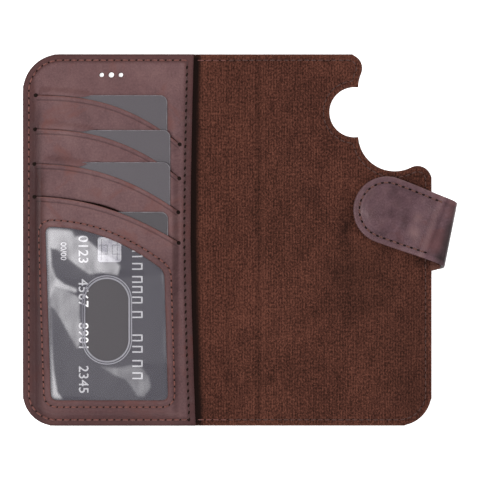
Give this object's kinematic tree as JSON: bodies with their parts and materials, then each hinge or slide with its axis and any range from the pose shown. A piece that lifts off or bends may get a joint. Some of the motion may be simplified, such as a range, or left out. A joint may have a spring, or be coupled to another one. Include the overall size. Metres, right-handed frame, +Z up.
{
  "type": "phone wallet case",
  "caption": "Book-style leather phone wallet case, open flat, with slit card pockets, a clear window pocket, a camera cut-out and a magnetic closing strap.",
  "frame": {"origin": "under the middle of the open case, at the outer face of the leather", "axes": "+X across the open case from the front cover to the back cover, +Y towards the end with the camera cut-out, +Z up from the outer leather, inside of the case up"},
  "size_m": [0.1905, 0.163, 0.01],
  "materials": {
    "leather": "satin",
    "suede": "matte",
    "thread": "satin",
    "board": "matte",
    "steel": "satin",
    "liner": "matte",
    "film": "gloss",
    "card": "satin",
    "id_card": "satin"
  },
  "bodies": {
    "back_cover": {"back_leather": "leather", "back_board": "board", "shell_magnets": "steel", "back_lining": "suede", "back_thread": "thread", "strap_tongue": "leather"},
    "spine": {"spine_leather": "leather", "spine_board": "board", "spine_lining": "suede", "spine_thread": "thread", "front_fold_leather": "leather", "front_fold_lining": "suede", "back_fold_leather": "leather", "back_fold_lining": "suede"},
    "front_cover": {"front_leather": "leather", "front_board": "board", "clasp_plate": "steel", "front_lining": "suede", "pocket_liner_1": "liner", "pocket_liner_2": "liner", "pocket_liner_3": "liner", "pocket_liner_4": "liner", "id_window": "film", "pocket_panel": "leather", "window_thread": "thread", "front_thread": "thread"},
    "card_1": {"card_1": "card"},
    "card_2": {"card_2": "card"},
    "card_3": {"card_3": "card"},
    "id_card": {"id_card": "id_card"},
    "strap_base": {"strap_base_link": "leather"},
    "strap_bend": {"strap_bend_link": "leather"},
    "strap_neck": {"strap_neck_link": "leather", "neck_thread": "thread"},
    "strap_tab": {"tab_leather": "leather", "tab_facing": "leather", "tab_magnet": "steel", "tab_thread": "thread"}
  },
  "joints": [
    {"name": "spine_fold", "type": "hinge", "parent": "back_cover", "child": "spine", "pos_m": [0.008, 0, 0.00145], "axis": [0, 1, 0], "range_deg": [-90, 90], "deforming": ["back_fold_leather", "back_fold_lining"]},
    {"name": "cover_fold", "type": "hinge", "parent": "spine", "child": "front_cover", "pos_m": [-0.019, 0, 0.00145], "axis": [0, 1, 0], "range_deg": [-90, 90], "deforming": ["front_fold_leather", "front_fold_lining"]},
    {"name": "strap_lift", "type": "hinge", "parent": "back_cover", "child": "strap_base", "pos_m": [0.086, 0.0015, 0.0016], "axis": [0, -1, 0], "range_deg": [0, 90]},
    {"name": "strap_unroll", "type": "hinge", "parent": "strap_base", "child": "strap_bend", "pos_m": [0.0912, 0.0015, 0.0016], "axis": [-0.1959, -0.9806, 0], "range_deg": [-90, 0]},
    {"name": "strap_swing", "type": "hinge", "parent": "strap_bend", "child": "strap_neck", "pos_m": [0.0912, 0.0015, 0.0049], "axis": [0.1959, 0.9806, 0], "range_deg": [0, 90]},
    {"name": "tab_fold", "type": "hinge", "parent": "strap_neck", "child": "strap_tab", "pos_m": [0.07107, 0.00988, 0.0049], "axis": [-0.3843, -0.9232, 0], "range_deg": [0, 90]},
    {"name": "card_1_slide", "type": "slide", "parent": "front_cover", "child": "card_1", "axis": [0, 1, 0.0085], "range_m": [0, 0.105]},
    {"name": "card_2_slide", "type": "slide", "parent": "front_cover", "child": "card_2", "axis": [0, 0.9998, 0.0196], "range_m": [0, 0.12]},
    {"name": "card_3_slide", "type": "slide", "parent": "front_cover", "child": "card_3", "axis": [0, 0.9995, 0.0308], "range_m": [0, 0.135]},
    {"name": "id_card_slide", "type": "slide", "parent": "front_cover", "child": "id_card", "axis": [0, 0.9991, 0.042], "range_m": [0, 0.156]}
  ],
  "couplings": [
    {"joint": "strap_unroll", "follows": "strap_lift", "ratio": -1},
    {"joint": "tab_fold", "follows": "strap_swing", "ratio": 1}
  ]
}
